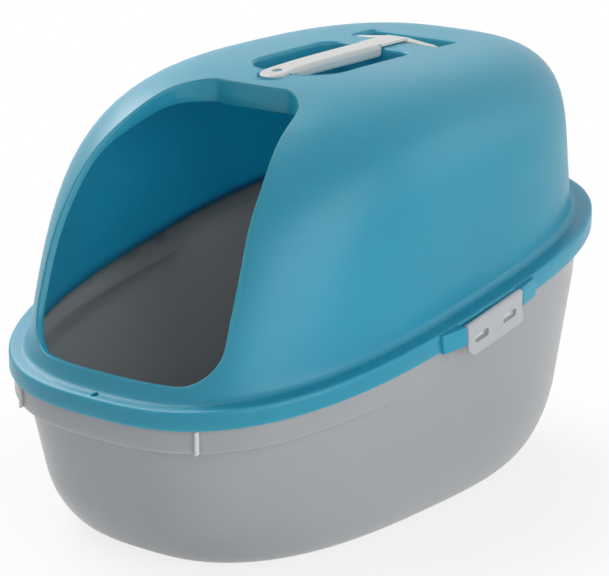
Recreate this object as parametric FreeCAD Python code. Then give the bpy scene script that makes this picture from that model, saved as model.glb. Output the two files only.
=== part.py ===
import FreeCAD, Part
import math
import os

os.makedirs("parts", exist_ok=True)
Vector = FreeCAD.Vector

# Hooded litter box, in millimetres. The entrance faces -Y, and it stands on Z = 0.

# Overall sizes
length = 540.0              # along Y, over the ledge
width = 378.0               # across the ledge at mid-length
height = 367.5              # floor to the hood's crown
plan_exponent = 2.79        # oval plan: 2 is an ellipse, more is squarer
plan_egg = 0.053            # share by which the back is wider than the middle

# Sloping rim where the hood meets the pan
rim_height = 177.8          # skirt's lower edge above the floor, at mid-length
rim_slope = 0.173           # rise per millimetre towards the back
skirt_height = 15.3
skirt_wall = 2.8
ledge_thickness = 3.0
rim_clearance = 0.8         # skirt to the pan's collar

# Pan
pan_wall = 3.0
pan_floor = 3.2
pan_foot_inset = 36.0       # how far the straight wall leans in by the floor
pan_corner_inset = 35.0     # how far the rounded bottom edge draws in further
pan_corner_share = 0.35     # share of the wall's height that is rounded
collar_drop = 20.0          # collar below the skirt
collar_step = 3.4           # collar stands out from the wall
fin_x = 92.0
fin_thickness = 2.6
fin_gap = 0.7               # fin's top below the skirt

# Hood
hood_wall = 2.6
side_ledge = 18.0           # ledge beside the hood's wall
front_ledge = 12.0
back_ledge = 14.0
side_lean = 11.3            # how far each side leans in by the crown
front_lean = 61.0
crown_share = 0.2778        # centre that the rounded top closes on, as a share of the length
crown_exponent = 3.82       # squareness of the shoulder
side_shoulder = 0.315       # share of the height where each shoulder starts
front_shoulder = -0.18
back_shoulder = 0.21
crown_egg = -0.102          # change of the plan's egg share up to the crown
crown_flat = 4.5            # how far the dome's top is pressed flat
crown_flat_power = 40.0     # how close to the top the flat part keeps
vent_radius = 3.2           # small hole in the ledge at the front
vent_inset = 8.0

# Entrance, seen from the front
entrance_half_width = 98.0
entrance_top_half_width = 70.0
entrance_sill_rise = 13.5   # sill above the ledge
entrance_side_share = 0.5025  # share of the entrance's height where the sides start to close
entrance_top_drop = 6.5     # brow below the crown
entrance_corner = 32.0
entrance_bend = 90.0
entrance_overrun = 12.0     # cut on behind the lip
lip_drop = 20.0
lip_wall = 2.6
lip_lead = 2.4              # lip's face ahead of the brow
lip_half_width = 72.0

# Finger pocket, blade slot and scoop
pocket_width = 92.0
pocket_front_share = -0.0574  # places along the length, as shares of it
pocket_back_share = 0.1722
pocket_depth = 37.5
pocket_corner = 30.0
seat_length = 22.0          # shelf in front of the pocket for the handle's tip
seat_drop = 5.5             # shelf below the crown
seat_margin = 1.0
peg_radius = 3.2
peg_height = 3.0
hang_hole_radius = 4.4
hang_back = 16.0            # hang hole behind the tip
slot_front_share = 0.2333
slot_depth_y = 32.0
slot_shoulder = 4.5         # rest at each end of the slot
slot_rest_drop = 6.0        # rest below the crown
scoop_clearance = 1.6
handle_width = 24.0
handle_wall = 2.6
handle_height = 11.0
handle_rise = 3.0           # handle's top above the crown
bridge_clearance = 0.4      # handle over the strip between pocket and slot
crossbar_half = 45.0
crossbar_depth = 8.0
blade_length = 128.0
blade_wall = 2.4
blade_tip_depth = 8.0
sift_slots = 5
sift_width = 6.0
sift_length = 80.0

# Clips, in a frame along the sloping rim: X out, Y along the rim, Z square to it
clip_y = -2.0
clip_length = 78.0
clip_drop = 32.0
clip_thickness = 2.4
clip_flare = 3.0            # lower edge stands out by this much
clip_flare_height = 6.0
knuckle_radius = 3.0
knuckle_gap = 0.45          # knuckle to the skirt
pivot_drop = 3.5            # pivot below the ledge's top
pivot_radius = 1.5
pivot_clearance = 0.05
pivot_length = 4.6
lug_width = 5.6
lug_gap = 0.4
catch_spacing = 40.0
catch_width = 14.0
catch_thickness = 2.6
catch_gap = 0.7             # catch below the skirt
catch_tip_clearance = 0.5   # catch to the hanging clip
clip_slot_length = 18.0
clip_slot_height = 5.4

# Values that follow from the sizes above
half_length = length / 2
half_width = width / 2
ledge_top = rim_height + skirt_height
ledge_under = ledge_top - ledge_thickness
collar_inset = skirt_wall + rim_clearance
pan_top_inset = collar_inset + collar_step
rim_angle = math.degrees(math.atan(rim_slope))
reach = length + height
crown_y = crown_share * length
pocket_front_y = pocket_front_share * length
pocket_back_y = pocket_back_share * length
slot_front_y = slot_front_share * length
entrance_sill_z = ledge_top + rim_slope * (front_ledge - half_length) + entrance_sill_rise
entrance_top_z = height - entrance_top_drop
entrance_side_z = entrance_sill_z + entrance_side_share * (entrance_top_z - entrance_sill_z)

# How finely the curved walls are drawn
ring_points = 40
corner_steps = 6
halvings = 30
hood_shares = (0.12, 0.25, 0.38, 0.5, 0.6, 0.7, 0.78, 0.85, 0.9, 0.94, 0.97, 0.985, 0.996)
hood_root_share = -0.008    # hood's wall starts inside the ledge
cavity_root_share = -0.05   # its cavity starts below the ledge
pan_mouth_share = 1.06      # the pan's hollow runs on past the rim
rim_root = 10.0             # ears and catches reach into the rim by this much


def ring(half_wide, front, back, egg, level, rise):
    """Closed oval curve on a plane that rises towards the back."""
    middle = (front + back) / 2
    half_long = (back - front) / 2
    points = []
    for index in range(ring_points):
        angle = 2 * math.pi * index / ring_points
        across = abs(math.sin(angle) / half_wide) ** plan_exponent
        along = abs(math.cos(angle) / half_long) ** plan_exponent
        radius = (across + along) ** (-1 / plan_exponent)
        y = -radius * math.cos(angle)
        x = radius * math.sin(angle) * (1 + egg * y / half_long)
        points.append(Vector(x, y + middle, level + rise * (y + middle)))
    curve = Part.BSplineCurve()
    curve.interpolate(points, True)
    return Part.Wire(curve.toShape())


def rim_ring(inset, level, rise):
    """Plan of the rim, drawn in by inset."""
    return ring(half_width - inset, inset - half_length, half_length - inset, plan_egg, level, rise)


def rim_prism(inset):
    """Upright solid over the rim's plan."""
    return Part.Face(rim_ring(inset, 0, 0)).extrude(Vector(0, 0, height))


def rim_slab(low, high):
    """Everything between two planes parallel to the rim."""
    lift = rim_slope * reach
    corners = [(-reach, low - lift), (reach, low + lift), (reach, high + lift), (-reach, high - lift)]
    return side_prism(corners, -reach, reach)


def side_prism(corners, x_low, x_high):
    """Solid with an outline in Y and Z, between two X values."""
    points = [Vector(x_low, y, z) for y, z in corners]
    face = Part.Face(Part.makePolygon(points + points[:1]))
    return face.extrude(Vector(x_high - x_low, 0, 0))


def block(x_low, x_high, y_low, y_high, z_low, z_high):
    size = (x_high - x_low, y_high - y_low, z_high - z_low)
    return Part.makeBox(*size, Vector(x_low, y_low, z_low))


def pan_ring(share, extra, base):
    """Plan of the pan at a share of its height, drawn in by extra, above base."""
    lean = (pan_foot_inset - pan_top_inset) * (1 - share)
    turn = max(0, 1 - share / pan_corner_share)
    corner = pan_corner_inset * (1 - math.sqrt(1 - turn * turn))
    inset = pan_top_inset + lean + corner + extra
    return rim_ring(inset, base + share * (ledge_under - base), share * rim_slope)


def pan_solid(extra, base, top_share):
    """Solid within the pan's wall: a rounded bottom edge under a straight leaning wall."""
    rings = []
    for step in range(corner_steps + 1):
        turn = math.radians(90 * step / corner_steps)
        rings.append(pan_ring(pan_corner_share * (1 - math.cos(turn)), extra, base))
    bottom = Part.makeLoft(rings, True, False)
    wall = Part.makeLoft([rings[-1], pan_ring(top_share, extra, base)], True, True)
    return bottom.fuse(wall)


def closing(share, start):
    """How much of its size a shoulder that begins at start has left at a share of the height."""
    turn = max(0, (share - start) / (1 - start))
    return (1 - turn ** crown_exponent) ** (1 / crown_exponent)


def hood_level(share, base, inset):
    """Level of the hood's wall at a share of its height, above a base level."""
    dome = height + crown_flat - inset
    return (1 - share) * base + share * dome - crown_flat * max(0, share) ** crown_flat_power


def hood_front(share):
    """Front of the hood at a share of its height."""
    front = front_ledge - half_length + front_lean * share
    return crown_y + (front - crown_y) * closing(share, front_shoulder)


def front_at(level):
    """Where the hood's front passes a level on its centre line."""
    low, high = 0.0, 1.0
    for step in range(halvings):
        share = (low + high) / 2
        y = hood_front(share)
        if hood_level(share, ledge_top + rim_slope * y, 0) < level:
            low = share
        else:
            high = share
    return y


def hood_solid(inset, first_share):
    """Solid within the hood's wall, drawn in by inset, from just below the ledge's top."""
    rings = []
    for share in (first_share,) + hood_shares:
        half_wide = (half_width - side_ledge - side_lean * share) * closing(share, side_shoulder)
        front = hood_front(share)
        back = crown_y + (half_length - back_ledge - crown_y) * closing(share, back_shoulder)
        level = hood_level(share, ledge_top, inset)
        egg = plan_egg + crown_egg * share
        slope = (1 - share) * rim_slope
        rings.append(ring(half_wide - inset, front + inset, back - inset, egg, level, slope))
    return Part.makeLoft(rings, True, False)


def rounded(solid, radius, direction):
    """Round the edges of a prism that run along one direction."""
    edges = []
    for edge in solid.Edges:
        run = edge.Vertexes[-1].Point - edge.Vertexes[0].Point
        if run.Length > 0 and abs(run.normalize().dot(direction)) > 0.999:
            edges.append(edge)
    return solid.makeFillet(radius, edges)


def plan_half_width(y):
    """Half the rim's width at a place along it."""
    share = 1 - (abs(y) / half_length) ** plan_exponent
    return half_width * share ** (1 / plan_exponent) * (1 + plan_egg * y / half_length)


# Places along the clip that the hood, the pan and the clip share
clip_half = clip_length / 2
lug_inner = clip_half + lug_gap
lug_outer = lug_inner + lug_width
clip_face = max(plan_half_width(clip_y + lug_outer), plan_half_width(clip_y))
pivot_x = knuckle_radius + knuckle_gap
clip_inner = pivot_x - clip_thickness / 2
catch_top = -skirt_height - catch_gap
catch_middle = catch_top - catch_thickness / 2
rim_depth = collar_inset + collar_step + pan_wall + rim_root


def on_rim(shape):
    """Move a shape from the clip's frame to the right side of the rim."""
    shape.rotate(Vector(0, 0, 0), Vector(1, 0, 0), rim_angle)
    shape.translate(Vector(clip_face, clip_y, ledge_top + rim_slope * clip_y))
    return shape


def pivot_rod(radius, y_low, y_high):
    return Part.makeCylinder(radius, y_high - y_low, Vector(pivot_x, y_low, -pivot_drop), Vector(0, 1, 0))


def mirrored(shape):
    return shape.mirror(Vector(0, 0, 0), Vector(1, 0, 0))


def catches():
    """Two tongues on the pan's collar that the right clip's slots drop over."""
    tip = clip_inner - catch_tip_clearance
    tongues = []
    for side in (-1, 1):
        middle = side * catch_spacing / 2
        near, far = middle - catch_width / 2, middle + catch_width / 2
        tongues.append(on_rim(block(-rim_depth, tip, near, far, catch_top - catch_thickness, catch_top)))
    return tongues


def make_pan():
    collar = rim_prism(collar_inset).common(rim_slab(rim_height - collar_drop, ledge_under))
    pan = pan_solid(0, 0, 1.0).fuse(collar)
    fin_zone = rim_prism(0).common(rim_slab(rim_height - collar_drop, rim_height - fin_gap))
    for side in (-1, 1):
        middle = side * fin_x
        left, right = middle - fin_thickness / 2, middle + fin_thickness / 2
        sheet = block(left, right, -half_length, -half_length / 2, 0, height)
        pan = pan.fuse(sheet.common(fin_zone))
    for tongue in catches():
        pan = pan.fuse(tongue).fuse(mirrored(tongue))
    return pan.cut(pan_solid(pan_wall, pan_floor, pan_mouth_share))


lip_y = front_at(entrance_top_z) - lip_lead
entrance_depth = half_length + lip_y + entrance_overrun


def entrance_edges(prism, at_bend):
    """Long edges of the entrance's prism, either where the sides bend or at the other corners."""
    edges = []
    for edge in prism.Edges:
        low, high = edge.Vertexes[0].Point, edge.Vertexes[-1].Point
        is_long = abs(high.y - low.y) > entrance_depth / 2
        if is_long and (abs(low.z - entrance_side_z) < 1) == at_bend:
            edges.append(edge)
    return edges


def entrance_cut():
    """The entrance as a prism along Y, with rounded corners."""
    corners = [(entrance_half_width, entrance_sill_z), (entrance_half_width, entrance_side_z),
               (entrance_top_half_width, entrance_top_z)]
    outline = corners + [(-x, z) for x, z in reversed(corners)]
    points = [Vector(x, -half_length, z) for x, z in outline]
    prism = Part.Face(Part.makePolygon(points + points[:1])).extrude(Vector(0, entrance_depth, 0))
    prism = prism.makeFillet(entrance_corner, entrance_edges(prism, False))
    return prism.makeFillet(entrance_bend, entrance_edges(prism, True))


def lugs():
    """Two ears on the skirt that hold the right clip's pivots."""
    ears = []
    for low, high in ((-lug_outer, -lug_inner), (lug_inner, lug_outer)):
        ear = block(-rim_depth, pivot_x, low, high, -pivot_drop - knuckle_radius, 0)
        ear = ear.fuse(pivot_rod(knuckle_radius, low, high))
        ears.append(on_rim(ear.cut(pivot_rod(pivot_radius + pivot_clearance, low, high))))
    return ears


seat_z = height - seat_drop
rest_z = height - slot_rest_drop
slot_half = crossbar_half + scoop_clearance
slot_back_y = slot_front_y + slot_depth_y
blade_half = slot_half - slot_shoulder - scoop_clearance
seat_half = handle_width / 2 + seat_margin
tip_y = pocket_front_y - seat_length + seat_margin
hang_y = tip_y + hang_back
tip_round_y = tip_y + handle_width / 2


def make_hood():
    half_pocket = pocket_width / 2
    floor_z = height - pocket_depth
    above = height + pocket_depth
    shelf_front = pocket_front_y - seat_length
    through = slot_half - slot_shoulder

    # What stands inside the hood: the pocket's basin, the tip's shelf, the slot's frame and the entrance's lip
    basin = block(-half_pocket - hood_wall, half_pocket + hood_wall, pocket_front_y - hood_wall,
                  pocket_back_y + hood_wall, floor_z - hood_wall, above)
    basin = rounded(basin, pocket_corner + hood_wall, Vector(0, 0, 1))
    shelf = block(-seat_half - hood_wall, seat_half + hood_wall, shelf_front - hood_wall,
                  pocket_front_y + pocket_corner, seat_z - hood_wall, above)
    frame = block(-slot_half - hood_wall, slot_half + hood_wall, slot_front_y - hood_wall,
                  slot_back_y + hood_wall, rest_z - hood_wall, above)
    lip = block(-lip_half_width, lip_half_width, lip_y, lip_y + lip_wall, entrance_top_z - lip_drop, above)

    hood = rim_prism(0).common(rim_slab(rim_height, ledge_top)).fuse(hood_solid(0, hood_root_share))
    for ear in lugs():
        hood = hood.fuse(ear).fuse(mirrored(ear))
    hood = hood.cut(rim_prism(skirt_wall).common(rim_slab(rim_height - skirt_height, ledge_under)))
    cavity = hood_solid(hood_wall, cavity_root_share)
    for inside in (basin, shelf, frame, lip):
        cavity = cavity.cut(inside)
    hood = hood.cut(cavity)
    hood = hood.cut(entrance_cut().cut(lip))

    pocket = block(-half_pocket, half_pocket, pocket_front_y, pocket_back_y, floor_z, above)
    hood = hood.cut(rounded(pocket, pocket_corner, Vector(0, 0, 1)))
    hood = hood.cut(block(-seat_half, seat_half, shelf_front, pocket_front_y + pocket_corner, seat_z, above))
    hood = hood.cut(block(-slot_half, slot_half, slot_front_y, slot_back_y, rest_z, above))
    hood = hood.cut(block(-through, through, slot_front_y, slot_back_y, floor_z, above))
    hood = hood.fuse(Part.makeCylinder(peg_radius, peg_height, Vector(0, hang_y, seat_z)))
    vent = Part.makeCylinder(vent_radius, height, Vector(0, vent_inset - half_length, 0))
    return hood.cut(vent)


def make_scoop():
    top_z = height + handle_rise
    half_handle = handle_width / 2
    bar_y = slot_front_y + scoop_clearance
    bar_back = bar_y + crossbar_depth
    grip_front = pocket_front_y + seat_margin
    grip_back = pocket_back_y - seat_margin
    grip_z = top_z - handle_height
    bridge_z = height + bridge_clearance
    side = [(tip_y, seat_z), (grip_front, seat_z), (grip_front, grip_z), (grip_back, grip_z),
            (grip_back, bridge_z), (bar_y, bridge_z), (bar_y, rest_z), (bar_back, rest_z), (bar_back, top_z),
            (grip_back, top_z), (grip_front, height), (tip_y, seat_z + handle_wall)]
    handle = side_prism(side, -half_handle, half_handle)
    plan = block(-half_handle, half_handle, tip_round_y, bar_back, 0, top_z)
    plan = plan.fuse(Part.makeCylinder(half_handle, top_z, Vector(0, tip_round_y, 0)))
    handle = handle.common(plan)
    inner = half_handle - handle_wall
    hollow_front, hollow_back = grip_front + handle_wall, grip_back - handle_wall
    handle = handle.cut(block(-inner, inner, hollow_front, hollow_back, 0, height - handle_wall))
    handle = handle.cut(Part.makeCylinder(hang_hole_radius, top_z, Vector(0, hang_y, 0)))
    crossbar = block(-crossbar_half, crossbar_half, bar_y, bar_back, rest_z, height + handle_rise / 2)

    tip_z = rest_z - blade_length
    back_y = slot_back_y - scoop_clearance
    plate = block(-blade_half, blade_half, bar_y, bar_y + blade_wall, tip_z, rest_z)
    pitch = 2 * (blade_half - blade_wall) / sift_slots
    for index in range(sift_slots):
        middle = (index - (sift_slots - 1) / 2) * pitch
        low = tip_z + blade_tip_depth
        left, right = middle - sift_width / 2, middle + sift_width / 2
        plate = plate.cut(block(left, right, bar_y, back_y, low, low + sift_length))
    wall = [(bar_y, tip_z), (bar_y + blade_tip_depth, tip_z), (back_y, rest_z - blade_wall),
            (bar_y, rest_z - blade_wall)]
    right_wall = side_prism(wall, blade_half - blade_wall, blade_half)
    heel = block(-blade_half, blade_half, bar_y, back_y, rest_z - 2 * blade_wall, rest_z - blade_wall)
    scoop = handle.fuse(crossbar).fuse(plate)
    return scoop.fuse(right_wall).fuse(mirrored(right_wall)).fuse(heel)


def make_clip():
    """Right clip: a plate that hangs from its pivots, with two slots for the pan's catches."""
    outer = clip_inner + clip_thickness
    low = -clip_drop
    bend = low + clip_flare_height
    profile = [(clip_inner, -pivot_drop), (clip_inner, bend), (clip_inner + clip_flare, low),
               (outer + clip_flare, low), (outer, bend), (outer, -pivot_drop)]
    points = [Vector(x, -clip_half, z) for x, z in profile]
    clip = Part.Face(Part.makePolygon(points + points[:1])).extrude(Vector(0, clip_length, 0))
    clip = clip.fuse(pivot_rod(knuckle_radius, -clip_half, clip_half))
    pin_end = clip_half + lug_gap + pivot_length
    clip = clip.fuse(pivot_rod(pivot_radius, -pin_end, pin_end))
    for side in (-1, 1):
        middle = side * catch_spacing / 2
        cutter = block(0, outer + clip_flare, middle - clip_slot_length / 2, middle + clip_slot_length / 2,
                       catch_middle - clip_slot_height / 2, catch_middle + clip_slot_height / 2)
        clip = clip.cut(rounded(cutter, clip_slot_height / 2 - pivot_clearance, Vector(1, 0, 0)))
    return on_rim(clip)


def save(name, shape):
    shape = shape.removeSplitter()
    print(name, "valid", shape.isValid(), "solids", len(shape.Solids), "volume", round(shape.Volume))
    shape.exportStep("parts/" + name + ".step")


right_clip = make_clip()
save("pan", make_pan())
save("hood", make_hood())
save("scoop", make_scoop())
save("right_clip", right_clip)
save("left_clip", mirrored(right_clip))
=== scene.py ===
# %% [markdown]
# # A hooded litter box, dressed for its portrait
# The box is a grey oval pan, a teal hood that stands on the pan's sloping rim, a pale scoop that doubles as
# the carrying bar, and two clips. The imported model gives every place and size; this lesson remakes each
# moulding with the soft edges and the satin plastic that the real one has.

# %% Load the frame
import math

import bmesh
import bpy
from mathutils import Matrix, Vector


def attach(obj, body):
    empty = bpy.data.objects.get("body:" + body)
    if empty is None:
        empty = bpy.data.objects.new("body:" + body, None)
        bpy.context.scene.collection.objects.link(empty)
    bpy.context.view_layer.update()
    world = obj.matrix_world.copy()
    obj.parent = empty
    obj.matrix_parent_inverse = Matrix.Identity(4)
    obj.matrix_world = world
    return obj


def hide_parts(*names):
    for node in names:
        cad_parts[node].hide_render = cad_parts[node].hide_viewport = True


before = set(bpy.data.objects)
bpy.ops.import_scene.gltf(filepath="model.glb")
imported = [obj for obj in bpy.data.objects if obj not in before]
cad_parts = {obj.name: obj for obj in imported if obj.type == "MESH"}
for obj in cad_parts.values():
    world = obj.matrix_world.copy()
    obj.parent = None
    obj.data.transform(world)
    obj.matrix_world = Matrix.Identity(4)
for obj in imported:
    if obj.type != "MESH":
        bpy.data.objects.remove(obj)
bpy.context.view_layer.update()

print("frame nodes", sorted(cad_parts))

# %% [markdown]
# ## The sizes that the mouldings share
# The plan is one oval, a superellipse that is a little wider at the back. The rim lies on a plane that climbs
# towards the back. Everything below is in metres, and the pan's and hood's outlines are this oval drawn in by
# some amount, so one function serves them all.

# %% Shared sizes
HALF_LENGTH = 0.270
HALF_WIDTH = 0.189
CROWN = 0.3675
OVAL_POWER = 2.79
OVAL_EGG = 0.053
RIM_SLOPE = 0.173
RIM_ANGLE = math.atan(RIM_SLOPE)
SKIRT_FOOT = 0.1778
SKIRT_HEIGHT = 0.0153
LEDGE_TOP = SKIRT_FOOT + SKIRT_HEIGHT
LEDGE_THICK = 0.003
LEDGE_UNDER = LEDGE_TOP - LEDGE_THICK
RING_POINTS = 192


def oval(half_wide, front, back, egg, level, rise):
    """Points of one closed oval on a plane that rises towards the back."""
    middle, half_long = (front + back) / 2, (back - front) / 2
    points = []
    for index in range(RING_POINTS):
        angle = 2 * math.pi * index / RING_POINTS
        across = abs(math.sin(angle) / half_wide) ** OVAL_POWER
        along = abs(math.cos(angle) / half_long) ** OVAL_POWER
        reach = (across + along) ** (-1 / OVAL_POWER)
        y = -reach * math.cos(angle)
        x = reach * math.sin(angle) * (1 + egg * y / half_long)
        points.append(Vector((x, y + middle, level + rise * (y + middle))))
    return points


def rim_oval(inset, level, rise=RIM_SLOPE):
    """The rim's own oval, drawn in by inset."""
    return oval(HALF_WIDTH - inset, inset - HALF_LENGTH, HALF_LENGTH - inset, OVAL_EGG, level, rise)


print("the rim climbs", round(math.degrees(RIM_ANGLE), 1), "degrees")

# %% [markdown]
# ## Growing a moulding ring by ring
# A moulded wall is a stack of closed curves. By hand one would add a circle, extrude its edge, and fit the new
# edge to the next curve, over and over. The helper does just that, so every wall has clean quads that flow
# round the object.

# %% Ring helper
def start_fresh():
    if bpy.context.object and bpy.context.object.mode != "OBJECT":
        bpy.ops.object.mode_set(mode="OBJECT")
    bpy.ops.object.select_all(action="DESELECT")


def grow_rings(name, rings, ends="fill"):
    """Extrude a circle's edge through the rings, then fill both ends or bridge them to each other."""
    start_fresh()
    bpy.ops.mesh.primitive_circle_add(vertices=len(rings[0]), radius=0.1)
    piece = bpy.context.object
    piece.name = piece.data.name = name
    bpy.ops.object.mode_set(mode="EDIT")
    bpy.ops.mesh.select_all(action="SELECT")
    edge = list(range(len(rings[0])))
    for number, ring in enumerate(rings):
        if number:
            bpy.ops.mesh.extrude_region_move()
        mesh = bmesh.from_edit_mesh(piece.data)
        mesh.verts.ensure_lookup_table()
        if number:
            olds = [mesh.verts[index] for index in edge]
            linked = [[link.other_vert(old) for link in old.link_edges] for old in olds]
            edge = [[vert.index for vert in verts if vert.select][0] for verts in linked]
        for index, point in zip(edge, ring):
            mesh.verts[index].co = point
        bmesh.update_edit_mesh(piece.data)
    if ends == "bridge":
        bpy.ops.mesh.select_all(action="DESELECT")
        bpy.ops.mesh.select_non_manifold()
        bpy.ops.mesh.bridge_edge_loops()
    bpy.ops.mesh.select_all(action="SELECT")
    if ends == "fill":
        bpy.ops.mesh.fill_holes(sides=0)
    bpy.ops.mesh.normals_make_consistent(inside=False)
    bpy.ops.object.mode_set(mode="OBJECT")
    return piece


# %% [markdown]
# ## Camera and studio
# The view is from the front right through a long lens, a little above the box. The camera is set first, because
# every later choice is judged through it. The ground is white, with a large soft lamp on the left and another
# on the right, and a faint one behind.

# %% Camera
IMAGE_WIDTH, IMAGE_HEIGHT = 609, 576
SENSOR_WIDTH = 36
CAMERA_TURN, CAMERA_RISE = math.radians(37.93), math.radians(15.51)
CAMERA_DISTANCE = 2.167
FOCAL_PIXELS = 2559.1
CENTRE_PIXEL = (304.1, 257.4)
AIM = Vector((0, 0, 0.2))

away = Vector((math.sin(CAMERA_TURN) * math.cos(CAMERA_RISE),
               -math.cos(CAMERA_TURN) * math.cos(CAMERA_RISE), math.sin(CAMERA_RISE)))
start_fresh()
bpy.ops.object.camera_add(location=AIM + away * CAMERA_DISTANCE)
camera = bpy.context.object
camera.rotation_euler = away.to_track_quat("Z", "Y").to_euler()
camera.data.sensor_width = SENSOR_WIDTH
camera.data.lens = FOCAL_PIXELS / IMAGE_WIDTH * SENSOR_WIDTH
camera.data.shift_x = (IMAGE_WIDTH / 2 - CENTRE_PIXEL[0]) / IMAGE_WIDTH
camera.data.shift_y = (CENTRE_PIXEL[1] - IMAGE_HEIGHT / 2) / IMAGE_WIDTH
bpy.context.scene.camera = camera
print("lens", round(camera.data.lens, 1), "mm")

# %% Studio lamps
bpy.context.scene.view_settings.view_transform = "Standard"


def soft_lamp(name, place, size, watts):
    start_fresh()
    bpy.ops.object.light_add(type="AREA", location=place)
    lamp = bpy.context.object
    lamp.name = name
    lamp.data.shape = "SQUARE"
    lamp.data.size = size
    lamp.data.energy = watts
    lamp.rotation_euler = (Vector(place) - AIM).to_track_quat("Z", "Y").to_euler()
    print(name, watts, "watts")


soft_lamp("lamp_left", (-1.5, 0.15, 1.7), 1.5, 32)
soft_lamp("lamp_right", (2.2, -0.75, 0.75), 2.2, 30)
soft_lamp("lamp_behind", (1.7, 1.6, 1.0), 1.2, 4)

# %% [markdown]
# The white ground must not light the box, or its colours would wash out. So the world and the floor show plain
# white only to the camera and in reflections, and keep their real, dimmer light for everything else. Near the
# box the floor keeps part of its own shading, which is where the shadow lies.

# %% White world
SKY_COLOUR, SKY_STRENGTH = (0.96, 0.98, 1.0, 1), 0.24


def seen_white(tree, shader, output, white, keep=None):
    """Show plain white to the camera and in reflections; keep is how much of the white is used where."""
    path = tree.nodes.new("ShaderNodeLightPath")
    seen = path.outputs["Is Camera Ray"]
    for kind in ("Is Glossy Ray", "Is Transmission Ray"):
        either = tree.nodes.new("ShaderNodeMath")
        either.operation = "MAXIMUM"
        tree.links.new(seen, either.inputs[0])
        tree.links.new(path.outputs[kind], either.inputs[1])
        seen = either.outputs[0]
    if keep:
        share = tree.nodes.new("ShaderNodeMath")
        share.operation = "MULTIPLY"
        tree.links.new(seen, share.inputs[0])
        tree.links.new(keep, share.inputs[1])
        seen = share.outputs[0]
    mix = tree.nodes.new("ShaderNodeMixShader")
    tree.links.new(seen, mix.inputs["Fac"])
    tree.links.new(shader, mix.inputs[1])
    tree.links.new(white, mix.inputs[2])
    tree.links.new(mix.outputs[0], output)


world = bpy.data.worlds.new("studio")
bpy.context.scene.world = world
world.use_nodes = True
world_nodes = world.node_tree.nodes
sky = world_nodes["Background"]
sky.inputs["Color"].default_value = SKY_COLOUR
sky.inputs["Strength"].default_value = SKY_STRENGTH
paper_sky = world_nodes.new("ShaderNodeBackground")
paper_sky.inputs["Color"].default_value = (1, 1, 1, 1)
seen_white(world.node_tree, sky.outputs[0], world_nodes["World Output"].inputs["Surface"], paper_sky.outputs[0])
print("world strength", SKY_STRENGTH)

# %% Floor
FLOOR_SIZE = 12
SHADOW_NEAR, SHADOW_FAR, SHADOW_WHITE = 0.18, 0.42, 0.80

start_fresh()
bpy.ops.mesh.primitive_plane_add(size=FLOOR_SIZE)
floor = bpy.context.object
floor.name = "studio_floor"
bpy.ops.object.mode_set(mode="EDIT")
bpy.ops.mesh.subdivide(number_cuts=3)
bpy.ops.object.mode_set(mode="OBJECT")
paper = bpy.data.materials.new("studio_paper")
paper.use_nodes = True
tree = paper.node_tree
paper_shader = tree.nodes["Principled BSDF"]
paper_shader.inputs["Base Color"].default_value = (0.95, 0.95, 0.95, 1)
paper_shader.inputs["Roughness"].default_value = 0.9
place = tree.nodes.new("ShaderNodeTexCoord")
away_from_box = tree.nodes.new("ShaderNodeVectorMath")
away_from_box.operation = "LENGTH"
fade = tree.nodes.new("ShaderNodeMapRange")
fade.interpolation_type = "SMOOTHSTEP"
fade.inputs["From Min"].default_value = SHADOW_NEAR
fade.inputs["From Max"].default_value = SHADOW_FAR
fade.inputs["To Min"].default_value = SHADOW_WHITE
fade.inputs["To Max"].default_value = 1.0
glow = tree.nodes.new("ShaderNodeEmission")
tree.links.new(place.outputs["Object"], away_from_box.inputs[0])
tree.links.new(away_from_box.outputs["Value"], fade.inputs["Value"])
seen_white(tree, paper_shader.outputs[0], tree.nodes["Material Output"].inputs["Surface"], glow.outputs[0],
           fade.outputs["Result"])
floor.data.materials.append(paper)
print("studio floor ready")

# %% [markdown]
# ## Moulded plastics
# All the plastics are satin injection mouldings. A broad, faint drift of colour, a fine grain in the bump and a
# slow change of gloss keep them from looking like one flat paint. The hood's teal lets some light through its
# thin wall. Its lips and bosses overlap that wall, so they have the same teal without the light inside, which
# would get lost between the two skins.

# %% Plastic helper
DRIFT_SCALE, GRAIN_SCALE, GRAIN_HEIGHT = 9, 1400, 0.0002
PLASTIC_IOR, PLASTIC_SPECULAR, LIGHT_DEPTH = 1.49, 0.42, 0.010


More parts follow.
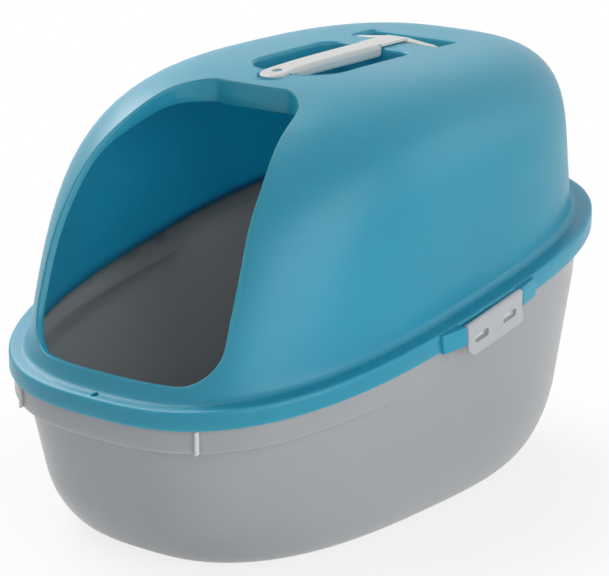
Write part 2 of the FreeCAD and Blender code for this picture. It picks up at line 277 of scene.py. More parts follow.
def moulded_plastic(name, pale, deep, gloss, grain, glow, through):
    """A satin plastic: colour drifts between two tones, gloss between two roughnesses, over a fine grain."""
    material = bpy.data.materials.new(name)
    material.use_nodes = True
    tree = material.node_tree
    shader = tree.nodes["Principled BSDF"]
    place = tree.nodes.new("ShaderNodeTexCoord")
    drift = tree.nodes.new("ShaderNodeTexNoise")
    drift.inputs["Scale"].default_value = DRIFT_SCALE
    drift.inputs["Detail"].default_value = 3
    tones = tree.nodes.new("ShaderNodeValToRGB")
    tones.color_ramp.interpolation = "EASE"
    tones.color_ramp.elements[0].color = (*deep, 1)
    tones.color_ramp.elements[1].color = (*pale, 1)
    sheen = tree.nodes.new("ShaderNodeMapRange")
    sheen.inputs["To Min"].default_value = gloss[0]
    sheen.inputs["To Max"].default_value = gloss[1]
    fine = tree.nodes.new("ShaderNodeTexNoise")
    fine.inputs["Scale"].default_value = GRAIN_SCALE
    fine.inputs["Detail"].default_value = 2
    bump = tree.nodes.new("ShaderNodeBump")
    bump.inputs["Strength"].default_value = grain
    bump.inputs["Distance"].default_value = GRAIN_HEIGHT
    tree.links.new(place.outputs["Object"], drift.inputs["Vector"])
    tree.links.new(place.outputs["Object"], fine.inputs["Vector"])
    tree.links.new(drift.outputs["Fac"], tones.inputs["Fac"])
    tree.links.new(drift.outputs["Fac"], sheen.inputs["Value"])
    tree.links.new(fine.outputs["Fac"], bump.inputs["Height"])
    tree.links.new(tones.outputs["Color"], shader.inputs["Base Color"])
    tree.links.new(sheen.outputs["Result"], shader.inputs["Roughness"])
    tree.links.new(bump.outputs["Normal"], shader.inputs["Normal"])
    shader.inputs["IOR"].default_value = PLASTIC_IOR
    shader.inputs["Specular IOR Level"].default_value = PLASTIC_SPECULAR
    shader.inputs["Subsurface Weight"].default_value = glow
    shader.inputs["Subsurface Radius"].default_value = through
    shader.inputs["Subsurface Scale"].default_value = LIGHT_DEPTH
    print("plastic", name)
    return material


# %% Plastics
TEAL_PALE, TEAL_DEEP, TEAL_THROUGH = (0.032, 0.384, 0.552), (0.024, 0.338, 0.488), (0.10, 0.98, 1.0)
WARM_THROUGH = (1.0, 0.9, 0.8)
TEAL = moulded_plastic("hood_teal", TEAL_PALE, TEAL_DEEP, (0.30, 0.42), 0.08, 0.8, TEAL_THROUGH)
EDGE_TEAL = moulded_plastic("edge_teal", TEAL_PALE, TEAL_DEEP, (0.26, 0.36), 0.08, 0.0, TEAL_THROUGH)
GREY = moulded_plastic("pan_grey", (0.46, 0.475, 0.49), (0.42, 0.435, 0.45), (0.26, 0.38), 0.10, 0.6,
                       (1.0, 0.98, 0.95))
WHITE = moulded_plastic("scoop_white", (0.76, 0.77, 0.75), (0.71, 0.72, 0.70), (0.28, 0.36), 0.06, 0.1,
                        WARM_THROUGH)
PALE = moulded_plastic("clip_grey", (0.58, 0.60, 0.62), (0.54, 0.56, 0.58), (0.28, 0.38), 0.06, 0.1,
                       WARM_THROUGH)


def dress(piece, material, body, slot, *nodes):
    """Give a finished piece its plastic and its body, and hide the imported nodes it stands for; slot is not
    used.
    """
    piece.data.materials.append(material)
    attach(piece, body)
    if nodes:
        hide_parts(*nodes)


# %% [markdown]
# ## The pan
# The pan is a deep oval tray: a rounded foot, a wall that leans out, and an upright collar that the hood's
# skirt hangs over. Along the sides the collar's step melts into the plain wall. It is grown as one closed wall,
# from the middle of its underside, up the outside, over the rim and down inside, because a wall made that way
# has its real thickness everywhere.

# %% Pan wall
PAN_WALL = 0.003
PAN_FLOOR = 0.0032
WALL_TOP_INSET = 0.007
FOOT_INSET = 0.036
FOOT_ROUND = 0.035
FOOT_SHARE = 0.35


def pan_inset(share):
    turn = max(0.0, 1 - share / FOOT_SHARE)
    lean = (FOOT_INSET - WALL_TOP_INSET) * (1 - share)
    return WALL_TOP_INSET + lean + FOOT_ROUND * (1 - math.sqrt(1 - turn * turn))


def pan_oval(share, extra, base):
    return rim_oval(pan_inset(share) + extra, base + share * (LEDGE_UNDER - base), share * RIM_SLOPE)


foot_shares = [FOOT_SHARE * (1 - math.cos(math.radians(6 * step))) for step in range(16)]
print("foot rings", len(foot_shares))

# %% Pan collar
COLLAR_INSET = 0.0036
COLLAR_FOOT = SKIRT_FOOT - 0.020
COLLAR_FADE = (-0.120, 0.060)
RIM_ROUND, INNER_ROUND = 0.0010, 0.0008
collar_inner = COLLAR_INSET + PAN_WALL
wall_inset = pan_inset(COLLAR_FOOT / LEDGE_UNDER)


def fading(inset, level, extra=0.0):
    """A ring of the collar's step, which melts into the plain wall along the sides."""
    plain = rim_oval(pan_inset(level / LEDGE_UNDER) + extra, level)
    ring = []
    for step, wall in zip(rim_oval(inset, level), plain):
        melt = min(1.0, max(0.0, (step.y - COLLAR_FADE[0]) / (COLLAR_FADE[1] - COLLAR_FADE[0])))
        ring.append(step.lerp(wall, melt * melt * (3 - 2 * melt)))
    return ring


outer_steps = [(wall_inset, -0.0040), (wall_inset - 0.0004, -0.0016), (wall_inset - 0.0016, -0.0004),
               (COLLAR_INSET + 0.0022, 0.0), (COLLAR_INSET + 0.0007, 0.0004), (COLLAR_INSET, 0.0018),
               (COLLAR_INSET, 0.020)]
inner_steps = [(collar_inner, 0.010), (collar_inner + 0.0006, 0.0052), (collar_inner + 0.0020, 0.0040),
               (wall_inset + PAN_WALL - 0.0010, 0.0032), (wall_inset + PAN_WALL - 0.0002, 0.0022),
               (wall_inset + PAN_WALL, 0.0)]
print("wall inset at the collar", round(wall_inset, 4))


# %% Pan
def activate(piece):
    start_fresh()
    piece.select_set(True)
    bpy.context.view_layer.objects.active = piece


def smooth(piece, degrees=40):
    activate(piece)
    bpy.ops.object.shade_smooth_by_angle(angle=math.radians(degrees))
    print(piece.name, "faces", len(piece.data.polygons))
    return piece


pan_rings = [pan_oval(share, 0, 0) for share in foot_shares + [0.45, 0.55, 0.65, 0.72, 0.77]]
pan_rings += [fading(inset, COLLAR_FOOT + lift) for inset, lift in outer_steps]
pan_rings += [fading(COLLAR_INSET, LEDGE_UNDER - RIM_ROUND), fading(COLLAR_INSET + RIM_ROUND, LEDGE_UNDER),
              fading(collar_inner - INNER_ROUND, LEDGE_UNDER, PAN_WALL - INNER_ROUND),
              fading(collar_inner, LEDGE_UNDER - RIM_ROUND, PAN_WALL)]
pan_rings += [fading(inset, COLLAR_FOOT + lift, PAN_WALL) for inset, lift in inner_steps]
pan_rings += [pan_oval(share, PAN_WALL, PAN_FLOOR) for share in [0.75, 0.65, 0.55, 0.45] + foot_shares[::-1]]
pan = smooth(grow_rings("pan_moulding", pan_rings))
dress(pan, GREY, "pan_body", "pan_grey", "pan")

# %% [markdown]
# ## The hood's wall
# Above the ledge the same oval leans back at the front, stands upright at the back and closes over in a soft
# shoulder. Each shoulder starts at its own height, so the front is a long slope and the back a tight turn. The
# wall is grown from the crown down the outside, over the ledge and skirt, and back up the inside.

# %% Hood outline
HOOD_WALL = 0.0026
SKIRT_WALL = 0.0028
SIDE_LEDGE, FRONT_LEDGE, BACK_LEDGE = 0.018, 0.012, 0.014
SIDE_LEAN, FRONT_LEAN = 0.0113, 0.061
SIDE_SHOULDER, FRONT_SHOULDER, BACK_SHOULDER = 0.315, -0.18, 0.21
CROWN_Y = 0.150
CROWN_POWER = 3.82
CROWN_EGG = -0.102
CROWN_FLAT, CROWN_FLAT_POWER = 0.0045, 40


def left_over(share, start):
    """How much of the width is left at this height, for a shoulder that starts at its own share."""
    turn = max(0.0, (share - start) / (1 - start))
    return (1 - turn ** CROWN_POWER) ** (1 / CROWN_POWER)


def hood_oval(share, inset=0.0):
    """The hood's outline at a share of its height, from 0 at the ledge to 1 at the crown."""
    half_wide = (HALF_WIDTH - SIDE_LEDGE - SIDE_LEAN * share) * left_over(share, SIDE_SHOULDER)
    front_reach = FRONT_LEDGE - HALF_LENGTH + FRONT_LEAN * share - CROWN_Y
    front = CROWN_Y + front_reach * left_over(share, FRONT_SHOULDER)
    back = CROWN_Y + (HALF_LENGTH - BACK_LEDGE - CROWN_Y) * left_over(share, BACK_SHOULDER)
    level = (1 - share) * LEDGE_TOP + share * (CROWN + CROWN_FLAT - inset)
    level -= CROWN_FLAT * max(0.0, share) ** CROWN_FLAT_POWER
    egg = OVAL_EGG + CROWN_EGG * share
    return oval(half_wide - inset, front + inset, back - inset, egg, level, (1 - share) * RIM_SLOPE)


print("hood from", LEDGE_TOP, "to", CROWN)

# %% Hood wall
shares = [0.9995, 0.999, 0.9978, 0.996, 0.993, 0.989, 0.983, 0.975, 0.965, 0.952, 0.936, 0.917, 0.895, 0.868,
          0.838, 0.803, 0.763, 0.72, 0.67, 0.615, 0.555, 0.49, 0.42, 0.35, 0.28, 0.21, 0.15, 0.10, 0.06]
ledge_root = [(0.032, 0.0), (0.016, -0.0006), (0.006, -0.0018), (0.001, -0.0036), (0.0, -0.0052)]
ledge_edge = [(0.0034, 0.0), (0.0018, -0.0002), (0.0007, -0.0008), (0.0001, -0.0018), (0, -0.0034)]
skirt_edge = [(0, 0.0010), (0.0003, 0.0003), (0.0009, 0.0), (0.0020, 0.0), (0.0026, 0.0003),
              (SKIRT_WALL, 0.0010)]
hood_rings = [hood_oval(share) for share in shares]
hood_rings += [hood_oval(share, inset) for share, inset in ledge_root]
hood_rings += [rim_oval(inset, LEDGE_TOP + lift) for inset, lift in ledge_edge]
hood_rings += [rim_oval(inset, SKIRT_FOOT + lift) for inset, lift in skirt_edge]
hood_rings += [rim_oval(SKIRT_WALL, LEDGE_UNDER), hood_oval(-0.016, HOOD_WALL), hood_oval(0.02, HOOD_WALL)]
hood_rings += [hood_oval(share, HOOD_WALL) for share in shares[::-1]]
hood = grow_rings("hood_moulding", hood_rings)
print("hood rings", len(hood_rings))

# %% [markdown]
# ## Outlines on the hood
# The entrance, pocket, slot and seat are outlines with rounded corners. Each is written as its few corners with
# a radius for each, and a helper turns that into evenly spaced points, so that the rings grown from it have
# even faces.

# %% Outline helpers
def evenly(outline, count):
    """The same closed outline with evenly spaced points."""
    closed = outline + outline[:1]
    lengths = [0.0]
    for here, there in zip(closed, closed[1:]):
        lengths.append(lengths[-1] + (there - here).length)
    points, leg = [], 0
    for index in range(count):
        target = lengths[-1] * index / count
        while lengths[leg + 1] < target:
            leg += 1
        share = (target - lengths[leg]) / max(lengths[leg + 1] - lengths[leg], 1e-9)
        points.append(closed[leg].lerp(closed[leg + 1], share))
    return points


def rounded(corners, radii, count, steps=8):
    """An even closed outline through the corners, each rounded by an arc of its own radius."""
    outline = []
    for index, (corner, radius) in enumerate(zip(corners, radii)):
        here = Vector(corner)
        back = (Vector(corners[index - 1]) - here).normalized()
        ahead = (Vector(corners[(index + 1) % len(corners)]) - here).normalized()
        half = back.angle(ahead) / 2
        centre = here + (back + ahead).normalized() * (radius / math.sin(half))
        first = here + back * (radius / math.tan(half)) - centre
        last = here + ahead * (radius / math.tan(half)) - centre
        for step in range(steps + 1):
            outline.append(centre + first.lerp(last, step / steps).normalized() * radius)
    return evenly(outline, count)


def box_corners(half, low, high, middle=0.0):
    """The four corners of an upright rectangle, half wide to each side of its middle."""
    return [(middle + half, high), (middle - half, high), (middle - half, low), (middle + half, low)]


# %% Outlines
LIP_POINTS = 280
SLOT_WIDE, SLOT_FRONT, SLOT_BACK = 0.0466, 0.126, 0.158
entrance_right = [(0.098, 0.162), (0.098, 0.245), (0.0885, 0.312), (0.070, 0.353), (0.046, 0.3608)]
entrance_corners = entrance_right + [(-x, z) for x, z in reversed(entrance_right)]
entrance_rounds = (0.032, 0.300, 0.110, 0.020, 0.080)
entrance = rounded(entrance_corners, entrance_rounds + entrance_rounds[::-1], LIP_POINTS)
pocket_corners = [(0.046, 0.093), (-0.046, 0.093), (-0.045, -0.031), (0.045, -0.031)]
pocket = rounded(pocket_corners, (0.014, 0.014, 0.030, 0.030), 140)
slot = rounded(box_corners(SLOT_WIDE, SLOT_FRONT, SLOT_BACK), (0.004,) * 4, 120)
seat = rounded(box_corners(0.0130, -0.0535, -0.022), (0.002, 0.002, 0.0128, 0.0128), 80)
print("entrance width", round(2 * max(point.x for point in entrance), 3))

# %% [markdown]
# ## Reading places off the hood
# These outlines lie on a curved surface. One could shrink-wrap them, but a ray cast at the plain hood, before
# anything is cut away, also gives the surface's direction at each point, which the entrance's lip needs.

# %% Places on the hood
def on_hood(start, direction):
    """Where a ray first meets the hood, and the surface's direction there."""
    found, place, normal, face = hood.ray_cast(Vector(start), Vector(direction))
    if not found:
        raise RuntimeError("the ray from %s misses the hood" % (start,))
    return place, normal


def levels(outline):
    return [on_hood((point.x, point.y, 0.5), (0, 0, -1))[0].z for point in outline]


entrance_seats = [on_hood((point.x, -0.5, point.y), (0, 1, 0)) for point in entrance]
pocket_levels, slot_levels, seat_levels = levels(pocket), levels(slot), levels(seat)
print("pocket edge from", round(min(pocket_levels), 4), "to", round(max(pocket_levels), 4))

# %% [markdown]
# ## Cutting the openings
# The entrance goes through the front along one straight line of sight, so its cutter is a prism. The pocket,
# the slot and the tip's seat are cut straight down. These three are cut a touch too large, and the moulded lips
# that come next hide the raw edge.

# %% Cutting helpers
def finish_with(piece, kind, **settings):
    """Add one modifier with its settings and apply it."""
    activate(piece)
    step = piece.modifiers.new(kind.lower(), kind)
    for key, value in settings.items():
        setattr(step, key, value)
    bpy.ops.object.modifier_apply(modifier=step.name)
    return piece


def carve(piece, cutter):
    """Take the cutter out of the piece and delete the cutter."""
    finish_with(piece, "BOOLEAN", object=cutter, operation="DIFFERENCE", solver="EXACT")
    bpy.data.objects.remove(cutter, do_unlink=True)


def outward(outline):
    """Unit directions that point out of a closed flat outline."""
    middle = sum(outline, Vector((0, 0))) / len(outline)
    turned = []
    for index, here in enumerate(outline):
        run = outline[(index + 1) % len(outline)] - outline[index - 1]
        side = Vector((run.y, -run.x)).normalized()
        turned.append(side if side.dot(here - middle) > 0 else -side)
    return turned


def grown(outline, amount):
    return [point + side * amount for point, side in zip(outline, outward(outline))]


def upright_cutter(outline, low, high):
    return grow_rings("cutter", [[Vector((p.x, p.y, z)) for p in outline] for z in (low, high)])


def level_cutter(outline, front, back):
    return grow_rings("cutter", [[Vector((p.x, y, p.y)) for p in outline] for y in (front, back)])


def rod(name, sides, radius, depth, place):
    """An upright cylinder round a place."""
    start_fresh()
    bpy.ops.mesh.primitive_cylinder_add(vertices=sides, radius=radius, depth=depth, location=place)
    bpy.ops.object.transform_apply(location=True, rotation=True, scale=True)
    piece = bpy.context.object
    piece.name = piece.data.name = name
    return piece


# %% Openings
EDGE_ROUND = 0.0024
CUT_LOW, CUT_HIGH = 0.340, 0.400
ENTRANCE_AHEAD, ENTRANCE_END = -0.30, -0.068
VENT_RADIUS = 0.0032
VENT_Y = 0.0062 - HALF_LENGTH

carve(hood, level_cutter(entrance, ENTRANCE_AHEAD, ENTRANCE_END))
for outline in (pocket, slot, seat):
    carve(hood, upright_cutter(grown(outline, EDGE_ROUND), CUT_LOW, CUT_HIGH))
carve(hood, rod("cutter", 32, VENT_RADIUS, 0.03, (0, VENT_Y, LEDGE_TOP + RIM_SLOPE * VENT_Y)))
smooth(hood, 32)

# %% [markdown]
# ## Lip round the entrance
# The mould turns the hood's edge inwards at the entrance: a deep band under the brow, thin at the jambs and the
# sill. A strip with that profile is swept round the outline, square to the hood's surface, and its soft edge
# hides the cut. Its direction and depth are eased along the way, so that the brow flows into the jambs.

# %% Lip directions
BROW_DEPTH, JAMB_DEPTH = 0.020, 0.0065
BROW_START, BROW_RISE = 0.335, 0.022
LIP_EASE = 13


def brow(point):
    """1 along the brow, 0 at the jambs and the sill."""
    return min(1.0, max(0.0, (point.y - BROW_START) / BROW_RISE))


def eased(values, index):
    """Mean of the neighbours along the lip."""
    near = [values[(index + step) % LIP_POINTS] for step in range(-LIP_EASE, LIP_EASE + 1)]
    return sum(near[1:], near[0]) / len(near)


lip_sides = []
for index, (place, normal) in enumerate(entrance_seats):
    run = entrance_seats[(index + 1) % LIP_POINTS][0] - entrance_seats[index - 1][0]
    side = run.cross(normal).normalized()
    middle = Vector((0, place.y, 0.25))
    lip_sides.append(side if side.dot(place - middle) > 0 else -side)
turns = [(-normal).lerp(Vector((0, 0, -1)), brow(point)).normalized()
         for point, (place, normal) in zip(entrance, entrance_seats)]
depths = [JAMB_DEPTH + (BROW_DEPTH - JAMB_DEPTH) * brow(point) for point in entrance]
lip_turns = [eased(turns, index).normalized() for index in range(LIP_POINTS)]
lip_depths = [eased(depths, index) for index in range(LIP_POINTS)]
print("lip depth from", round(min(lip_depths), 4), "to", round(max(lip_depths), 4))

# %% Entrance lip
LIP_WALL = 0.0024
# Each row of the profile is out along the surface, up from it, and the share of the depth.
lip_profile = [(0.0030, -0.00012, 0), (0.0022, 0.00002, 0), (0.0016, 0.00004, 0), (0.0010, 0.0, 0),
               (0.0004, -0.0002, 0), (-0.0001, -0.0006, 0), (-0.0005, -0.0013, 0), (-0.0006, -0.0022, 0),
               (-0.0006, -0.0022, 0.5), (-0.0006, -0.0008, 1), (-0.0002, -0.0001, 1), (0.0006, 0.0, 1),
               (LIP_WALL - 0.0009, 0.0, 1), (LIP_WALL - 0.0003, -0.0004, 1), (LIP_WALL, -0.0010, 1),
               (LIP_WALL, -0.0014, 0)]
lip_rings = []
for out, up, share in lip_profile:
    ring = []
    for (place, normal), side, turn, depth in zip(entrance_seats, lip_sides, lip_turns, lip_depths):
        lift = turn * up if share == 1 else normal * up
        ring.append(place + side * out + lift + turn * (depth * share))
    lip_rings.append(ring)
lip = smooth(grow_rings("entrance_lip", lip_rings, ends="bridge"))

# %% [markdown]
# ## Pocket, seat and slot
# The finger pocket is a rounded basin, the seat a shallow tray for the handle's tip, and the slot a short frame
# that the blade drops through. Each is a stack of the same outline, grown or drawn in: up the inside, over a
# soft lip, and down the outside, so that it is a closed wall like the rest.

# %% Basin helpers
LIP_CURVE = [(-0.0004, -0.0034), (-0.0002, -0.0022), (0.0003, -0.0012), (0.0010, -0.0005), (0.0018, -0.0001),
             (0.0026, 0.00004), (0.0032, 0.00003), (0.0038, -0.00012)]
BASIN_WALL, BASIN_DRAFT = 0.0024, 0.0008


def lip_stack(outline, edge_levels):
    """Rings that carry an outline's inside wall over a soft lip on the hood."""
    sides = outward(outline)
    return [[Vector((p.x + s.x * out, p.y + s.y * out, z + up)) for p, s, z in zip(outline, sides, edge_levels)]
            for out, up in LIP_CURVE]


def flat_ring(outline, out, level):
    return [Vector((p.x, p.y, level)) for p in grown(outline, out)]


def basin(name, outline, edge_levels, floor_level, turn):
    """A closed basin wall: floor, rounded turn, inside wall, lip, outside wall and underside."""
    inside, outside = [], []
    for step in range(7):
        angle = math.radians(15 * step)
        out, up = turn * (1 - math.sin(angle)), turn * (1 - math.cos(angle))
        inside.append(flat_ring(outline, -out - BASIN_DRAFT, floor_level + up))
        outside.append(flat_ring(outline, BASIN_WALL - out, floor_level + up - BASIN_WALL))
    return smooth(grow_rings(name, inside + lip_stack(outline, edge_levels) + outside[::-1]))


# %% Pocket and slot
POCKET_FLOOR, SEAT_FLOOR, SLOT_FOOT = 0.330, 0.362, 0.3590
pocket_basin = basin("finger_pocket", pocket, pocket_levels, POCKET_FLOOR, 0.012)
slot_rings = [flat_ring(slot, LIP_CURVE[0][0], SLOT_FOOT)] + lip_stack(slot, slot_levels)
slot_rings += [flat_ring(slot, BASIN_WALL, SLOT_FOOT)]
slot_frame = smooth(grow_rings("slot_frame", slot_rings, ends="bridge"))

# %% [markdown]
# The tip's seat runs into the pocket, so its basin stops short there: the part that would stand inside the
# pocket is cut away, and the pocket's front wall gets the same notch, a touch deeper, so that the two floors
# don't lie in one plane.

# %% Tip seat
NOTCH_HALF, NOTCH_DROP = 0.0126, 0.0005
tip_seat = basin("tip_seat", seat, seat_levels, SEAT_FLOOR, 0.0015)
carve(tip_seat, upright_cutter(grown(pocket, -0.0006), 0.335, CUT_HIGH))
notch = rounded(box_corners(NOTCH_HALF, -0.045, -0.010), (0.001,) * 4, 60)
carve(pocket_basin, upright_cutter(notch, SEAT_FLOOR - NOTCH_DROP, CUT_HIGH))
smooth(tip_seat)
smooth(pocket_basin)

# %% [markdown]
# ## Small features of the hood
# A short peg stands in the seat for the handle's hang hole, and the skirt thickens into two bosses on each
# side, which hold the clip's pins. The clip lives in a frame that lies along the sloping rim, so one helper
# carries points from that frame to the box. A boss is a block swept along the rim, so that its face follows
# the oval.

# %% Clip frame
CLIP_Y = -0.002
CLIP_FACE = 0.190189
CLIP_HALF = 0.039
PIVOT_X, PIVOT_DROP = 0.00345, 0.0035
KNUCKLE = 0.003
CLIP_INNER = PIVOT_X - 0.0012


def to_rim(point):
    """From the clip's frame (out, along the rim, square to it) to the right side of the box."""
    x, y, z = point
    cos, sin = math.cos(RIM_ANGLE), math.sin(RIM_ANGLE)
    level = LEDGE_TOP + RIM_SLOPE * CLIP_Y
    return Vector((CLIP_FACE + x, CLIP_Y + y * cos - z * sin, level + y * sin + z * cos))


def soften(piece, width, segments=3, degrees=40):
    """Round the piece's sharp edges."""
    return finish_with(piece, "BEVEL", width=width, segments=segments, limit_method="ANGLE",
                       angle_limit=math.radians(degrees))


def mirror_copy(piece, name):
    """The same piece on the left side, with its own mesh."""
    activate(piece)
    bpy.ops.object.duplicate()
    twin = bpy.context.object
    twin.name = twin.data.name = name
    bpy.ops.object.mode_set(mode="EDIT")
    bpy.ops.mesh.select_all(action="SELECT")
    bpy.ops.transform.resize(value=(-1, 1, 1), center_override=(0, 0, 0))
    bpy.ops.mesh.normals_make_consistent(inside=False)
    bpy.ops.object.mode_set(mode="OBJECT")
    return twin


print("clip pivot", [round(value, 4) for value in to_rim((PIVOT_X, 0, -PIVOT_DROP))])

# %% Bosses
BOSS_NEAR, BOSS_FAR, BOSS_STEPS = CLIP_HALF + 0.0006, CLIP_HALF + 0.0240, 8
BOSS_FACE, BOSS_STEP, BOSS_ROOT = 0.0056, 0.0030, -0.0015
BOSS_TOP, BOSS_FOOT = -0.0006, -SKIRT_HEIGHT - 0.0014


def rim_side(y):
    """Half the rim's width at a place along the box."""
    along = y / HALF_LENGTH
    return HALF_WIDTH * (1 - abs(along) ** OVAL_POWER) ** (1 / OVAL_POWER) * (1 + OVAL_EGG * along)


def boss(near, far):
    """A block on the skirt from near the clip, level with its face, to a small step far along the rim."""
    rings = []
    for step in range(BOSS_STEPS + 1):
        share = step / BOSS_STEPS
        ring = []
        for proud, up in ((False, BOSS_TOP), (True, BOSS_TOP), (True, BOSS_FOOT), (False, BOSS_FOOT)):
            place = to_rim((BOSS_FACE, near + (far - near) * share, up))
            skirt = rim_side(place.y)
            face = place.x + (skirt + BOSS_STEP - place.x) * share
            ring.append(Vector((face if proud else skirt + BOSS_ROOT, place.y, place.z)))
        rings.append(ring)
    return smooth(soften(grow_rings("clip_boss", rings), 0.0012, 4))


bosses = []
for end in (-1, 1):
    block = boss(end * BOSS_NEAR, end * BOSS_FAR)
    bosses += [block, mirror_copy(block, "left_boss")]

# %% Peg and hood together
HANG_Y = -0.036
PEG_RADIUS, PEG_HEIGHT, PEG_LIFT = 0.0026, 0.0060, 0.0016


def join(main, others):
    activate(main)
    for other in others:
        other.select_set(True)
    bpy.ops.object.join()
    return main


peg = smooth(soften(rod("peg", 40, PEG_RADIUS, PEG_HEIGHT, (0, HANG_Y, SEAT_FLOOR + PEG_LIFT)), 0.0007))
edges = join(lip, [pocket_basin, slot_frame, tip_seat, peg] + bosses)
edges.name = edges.data.name = "hood_edges"
dress(edges, EDGE_TEAL, "hood_body", "hood_teal")
dress(hood, TEAL, "hood_body", "hood_teal", "hood")

# %% [markdown]
# ## Fins and catches on the pan
# Two thin upright fins stand on the collar at the front, and two flat tongues on each side reach out for the
# clip's slots. Each is one small bar with bevelled edges, made once and mirrored.

# %% Fins
FIN_X, FIN_THICK, FIN_GAP = 0.092, 0.0026, 0.0007
FIN_TIP_INSET, FIN_ROOT_INSET = 0.0012, 0.0055


def rim_front(x, inset):
    """Where the rim's oval, drawn in by inset, crosses a place across the front."""
    ring = [point for point in rim_oval(inset, 0) if point.y < 0]
    ring.sort(key=lambda point: point.x)
    for here, there in zip(ring, ring[1:]):
        if here.x <= x <= there.x:
            return here.y + (there.y - here.y) * (x - here.x) / (there.x - here.x)
    raise RuntimeError("no front there")


fin_tip, fin_root = rim_front(FIN_X, FIN_TIP_INSET), rim_front(FIN_X, FIN_ROOT_INSET)
fin_top = SKIRT_FOOT - FIN_GAP
fin_outline = [(fin_root, COLLAR_FOOT), (fin_tip, COLLAR_FOOT), (fin_tip, fin_top), (fin_root, fin_top)]
fin_sides = (FIN_X - FIN_THICK / 2, FIN_X + FIN_THICK / 2)
fin_rings = [[Vector((x, y, level + RIM_SLOPE * y)) for y, level in fin_outline] for x in fin_sides]
fin = smooth(soften(grow_rings("fin", fin_rings), 0.0007))

# %% Catches
CATCH_TOP, CATCH_THICK, CATCH_WIDTH = -SKIRT_HEIGHT - 0.0007, 0.0026, 0.014
CATCH_ROOT, CATCH_TIP = -0.0108, CLIP_INNER - 0.0005
CATCH_PLACES = (-0.020, 0.020)


def along_rim(name, profile, near, far, edge):
    """A bar along the rim with a profile of (out, up) points and bevelled edges."""
    return soften(grow_rings(name, [[to_rim((x, y, z)) for x, z in profile] for y in (near, far)]), edge)


extras = [fin, mirror_copy(fin, "left_fin")]
catch_foot = CATCH_TOP - CATCH_THICK
tongue_profile = [(CATCH_ROOT, CATCH_TOP), (CATCH_ROOT, catch_foot), (CATCH_TIP, catch_foot),
                  (CATCH_TIP, CATCH_TOP)]
for middle in CATCH_PLACES:
    near, far = middle - CATCH_WIDTH / 2, middle + CATCH_WIDTH / 2
    tongue = smooth(along_rim("tongue", tongue_profile, near, far, 0.0006))
    extras += [tongue, mirror_copy(tongue, "left_tongue")]
join(pan, extras)

# %% [markdown]
# ## The scoop
# The handle is a bar that rises from its pointed tip to the crossbar. Stacked cross-sections along its length
# give the rounded tip, the swelling grip and the flat bridge in one skin. The crossbar is stacked the same way
# from side to side, thin at both ends.

# %% Scoop handle
HANDLE_HALF, HANDLE_ROUND = 0.012, 0.004
HANG_RADIUS = 0.0044


def section(half, low, high, radius):
    """A rounded rectangle, half wide to each side, between two levels."""
    radius = min(radius, half * 0.9, (high - low) * 0.45)
    corners = [(half, low), (half, high), (-half, high), (-half, low)]
    return rounded(corners, (radius * 0.5, radius, radius, radius * 0.5), 64)


# Each station is a place along the handle, half its width, and its lower and upper level.
handle_tip = [(-0.0519, 0.0016, 0.3626, 0.3638), (-0.0516, 0.0032, 0.3623, 0.3643),
              (-0.0506, 0.0058, 0.3621, 0.3648), (-0.0486, 0.0084, 0.3621, 0.3653),
              (-0.0455, 0.0106, 0.3621, 0.3659), (-0.0420, 0.0118, 0.3621, 0.3664)]
handle_grip = [(-0.0380, 0.3621, 0.3669), (-0.0320, 0.3621, 0.3676), (-0.0300, 0.3618, 0.3678),
               (-0.0275, 0.3605, 0.3681), (-0.0240, 0.3597, 0.3684), (-0.0050, 0.3595, 0.3692),
               (0.0200, 0.3595, 0.3698), (0.0450, 0.3595, 0.3702), (0.0650, 0.3595, 0.3704),
               (0.0850, 0.3595, 0.3705), (0.0895, 0.3597, 0.3705), (0.0914, 0.3605, 0.3705),
               (0.0919, 0.3640, 0.3705), (0.0922, 0.3680, 0.3705), (0.1100, 0.3680, 0.3705),
               (0.1280, 0.3680, 0.3704), (0.1335, 0.3682, 0.3702)]
handle_end = [(0.1352, HANDLE_HALF - 0.0006, 0.3686, 0.3697)]
stations = handle_tip + [(y, HANDLE_HALF, low, high) for y, low, high in handle_grip] + handle_end
handle_rings = [[Vector((p.x, y, p.y)) for p in section(half, low, high, HANDLE_ROUND)]
                for y, half, low, high in stations]
handle = grow_rings("scoop_handle", handle_rings)
carve(handle, rod("cutter", 48, HANG_RADIUS, 0.03, (0, HANG_Y, 0.365)))
smooth(handle, 38)

# %% Crossbar
BAR_Y, BAR_ROUND = 0.1276, 0.0022
# Each station is a place across the bar, its depth, and its lower and upper level.
bar_stations = [(0.0450, 0.0040, 0.3620, 0.3650), (0.0446, 0.0050, 0.3617, 0.3658),
                (0.0430, 0.0058, 0.3615, 0.3664), (0.0380, 0.0064, 0.3615, 0.3672),
                (0.0280, 0.0072, 0.3615, 0.3680), (0.0200, 0.0078, 0.3615, 0.3688),
                (0.0120, 0.0080, 0.3615, 0.3697)]
bar_stations += [(-x, depth, low, high) for x, depth, low, high in reversed(bar_stations)]
bar_rings = []
for x, depth, low, high in bar_stations:
    outline = section(depth / 2, low, high, BAR_ROUND)
    bar_rings.append([Vector((x, BAR_Y + depth / 2 + p.x, p.y)) for p in outline])
crossbar = smooth(grow_rings("crossbar", bar_rings), 38)

# %% [markdown]
# The blade hangs below the crossbar, inside the hood. It is a flat plate with side walls and five long sifting
# slots, so a plain cube is cut, and its edges are rounded last.

# %% Blade
SLOT_REST, REST_WIDE, BLADE_PLAY = 0.3615, 0.0045, 0.0016
BLADE_HALF = SLOT_WIDE - REST_WIDE - BLADE_PLAY
BLADE_BACK = SLOT_BACK - BLADE_PLAY
BLADE_WALL, BLADE_LENGTH = 0.0024, 0.128
BLADE_TIP = SLOT_REST - BLADE_LENGTH
SLITS, SLIT_HALF, SLIT_ROUND, SLIT_LOW, SLIT_HIGH = 5, 0.003, 0.0028, 0.008, 0.088


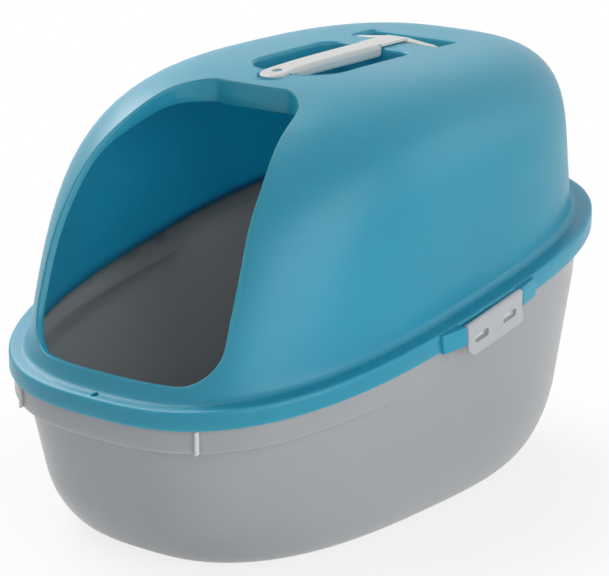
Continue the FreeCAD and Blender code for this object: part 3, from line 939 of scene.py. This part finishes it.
def slab(name, low, high):
    """A box between two corners."""
    start_fresh()
    bpy.ops.mesh.primitive_cube_add(size=1, location=(Vector(low) + Vector(high)) / 2)
    box = bpy.context.object
    box.name = box.data.name = name
    box.scale = Vector(high) - Vector(low)
    bpy.ops.object.transform_apply(location=True, rotation=True, scale=True)
    return box


blade = slab("blade", (-BLADE_HALF, BAR_Y, BLADE_TIP), (BLADE_HALF, BAR_Y + BLADE_WALL, SLOT_REST + 0.002))
pitch = 2 * (BLADE_HALF - BLADE_WALL) / SLITS
for number in range(SLITS):
    corners = box_corners(SLIT_HALF, BLADE_TIP + SLIT_LOW, BLADE_TIP + SLIT_HIGH, (number - SLITS // 2) * pitch)
    carve(blade, level_cutter(rounded(corners, (SLIT_ROUND,) * 4, 64), BAR_Y - 0.01, BLADE_BACK + 0.01))
smooth(soften(blade, 0.0005, 2, 50))

# %% Blade walls and the whole scoop
wall_top = SLOT_REST - BLADE_WALL
wall_outline = [(BAR_Y, BLADE_TIP), (BAR_Y + 0.008, BLADE_TIP), (BLADE_BACK, wall_top), (BAR_Y, wall_top)]
wall_rings = [[Vector((x, y, z)) for y, z in wall_outline] for x in (BLADE_HALF - BLADE_WALL, BLADE_HALF)]
blade_wall = smooth(soften(grow_rings("blade_wall", wall_rings), 0.0007))
heel = slab("heel", (-BLADE_HALF, BAR_Y, SLOT_REST - 2 * BLADE_WALL), (BLADE_HALF, BLADE_BACK, wall_top))
smooth(soften(heel, 0.0007))
scoop = join(handle, [crossbar, blade, blade_wall, mirror_copy(blade_wall, "left_blade_wall"), heel])
scoop.name = scoop.data.name = "scoop_moulding"
dress(scoop, WHITE, "scoop_body", "scoop_white", "scoop")

# %% [markdown]
# ## The clips
# Each clip is a thin plate that hangs from a round knuckle on the ledge, with two oblong slots and a lower edge
# that turns out for a finger. The profile is carried along the rim, the slots are cut with rounded ends, the
# lower corners are cut round, and the edges are softened.

# %% Clip plate
CLIP_THICK, CLIP_DROP = 0.0024, 0.0274
FLARE, FLARE_HEIGHT = 0.003, 0.006
FLARE_START, FLARE_BEND = 0.0011, 0.003
clip_outer = CLIP_INNER + CLIP_THICK
bend = FLARE_HEIGHT - CLIP_DROP
knuckle_arc = [math.radians(15 * step) for step in range(-2, 15)]
clip_profile = [(CLIP_INNER, bend), (CLIP_INNER + FLARE_START, bend - FLARE_BEND),
                (CLIP_INNER + FLARE, -CLIP_DROP), (clip_outer + FLARE, -CLIP_DROP),
                (clip_outer + FLARE_START, bend - FLARE_BEND), (clip_outer, bend)]
clip_profile += [(PIVOT_X + KNUCKLE * math.cos(a), -PIVOT_DROP + KNUCKLE * math.sin(a)) for a in knuckle_arc]
right_clip = along_rim("right_clip_moulding", clip_profile, -CLIP_HALF, CLIP_HALF, 0.0006)

# %% Clip slots and corners
CLIP_SLOT_HALF, CLIP_SLOT_RISE, CLIP_SLOT_LIFT = 0.0098, 0.0034, 0.0008
CLIP_ROUND, CORNER_MARGIN = 0.006, 0.002


def clip_cutter(outline):
    """A prism through the clip's plate, with an outline of (along the rim, up) points."""
    return grow_rings("cutter", [[to_rim((x, p[0], p[1])) for p in outline] for x in (-0.01, 0.02)])


slot_level = CATCH_TOP - CATCH_THICK / 2 + CLIP_SLOT_LIFT
for middle in CATCH_PLACES:
    corners = box_corners(CLIP_SLOT_HALF, slot_level - CLIP_SLOT_RISE, slot_level + CLIP_SLOT_RISE, middle)
    carve(right_clip, clip_cutter(rounded(corners, (CLIP_SLOT_RISE * 0.96,) * 4, 64)))
corner = [(CLIP_HALF + CORNER_MARGIN, -CLIP_DROP - CORNER_MARGIN),
          (CLIP_HALF + CORNER_MARGIN, CLIP_ROUND - CLIP_DROP)]
for step in range(11):
    turn = math.radians(9 * step)
    corner.append((CLIP_HALF - CLIP_ROUND * (1 - math.cos(turn)),
                   CLIP_ROUND * (1 - math.sin(turn)) - CLIP_DROP))
corner.append((CLIP_HALF - CLIP_ROUND, -CLIP_DROP - CORNER_MARGIN))
for end in (-1, 1):
    carve(right_clip, clip_cutter([(end * y, z) for y, z in corner]))
print("clip faces", len(right_clip.data.polygons))

# %% Pins and both clips
PIN_RADIUS, PIN_END, PIN_SIDES = 0.0015, 0.0418, 24
pin_turns = [2 * math.pi * step / PIN_SIDES for step in range(PIN_SIDES)]
pin_outline = [(PIVOT_X + PIN_RADIUS * math.cos(a), -PIVOT_DROP + PIN_RADIUS * math.sin(a)) for a in pin_turns]
pins = grow_rings("pins", [[to_rim((x, y, z)) for x, z in pin_outline] for y in (-PIN_END, PIN_END)])
join(right_clip, [pins])
smooth(right_clip, 35)
left_clip = mirror_copy(right_clip, "left_clip_moulding")
dress(right_clip, PALE, "right_clip_body", "clip_grey", "right_clip")
dress(left_clip, PALE, "left_clip_body", "clip_grey", "left_clip")

# %% [markdown]
# ## Finish
# Last, nothing is left selected.

# %% Finish
start_fresh()
